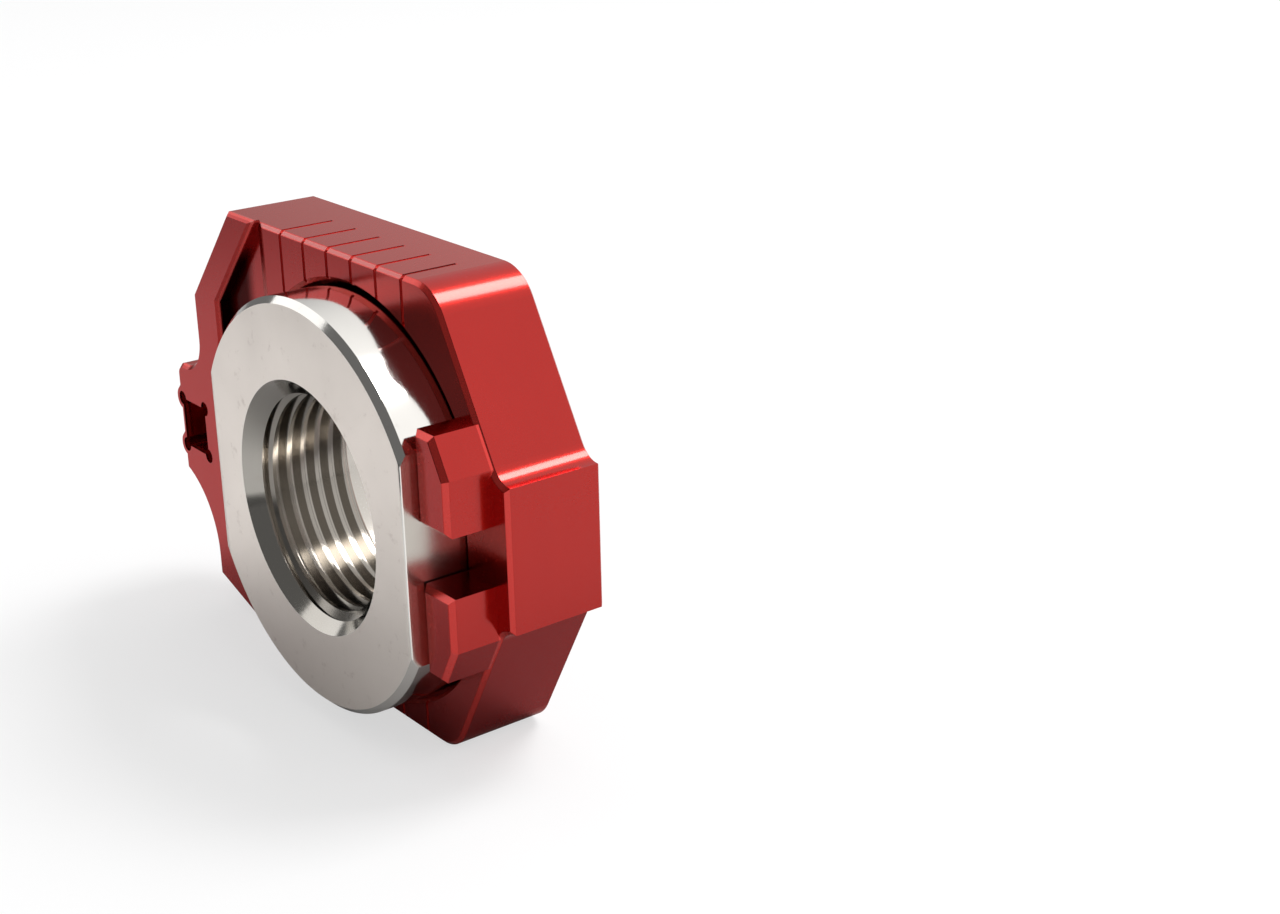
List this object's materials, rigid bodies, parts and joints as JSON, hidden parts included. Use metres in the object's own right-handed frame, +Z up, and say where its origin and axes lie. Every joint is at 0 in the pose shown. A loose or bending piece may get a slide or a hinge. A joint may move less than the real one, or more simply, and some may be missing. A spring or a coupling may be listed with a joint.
{
  "type": "motorcycle chain adjuster",
  "caption": "Axle block that slides in a swingarm slot to set chain tension, with an adjuster screw boss, a recessed seat, lugs that hold the nut's flat, and a flatted axle nut.",
  "frame": {"origin": "centre of the axle bore, in the plane of the flat back face", "axes": "+Y along the axle, away from the nut; +X along the block to its plain end; +Z up, the block standing on its lower long edge; the axis is 0.65 mm under the middle of the block"},
  "size_m": [0.0613, 0.0156, 0.044],
  "materials": {
    "red_anodised_aluminium": "satin red anodised",
    "plated_steel": "machined and plated, threads bright"
  },
  "bodies": {
    "root": {"axle_block": "red_anodised_aluminium", "axle_nut": "plated_steel"}
  },
  "joints": []
}
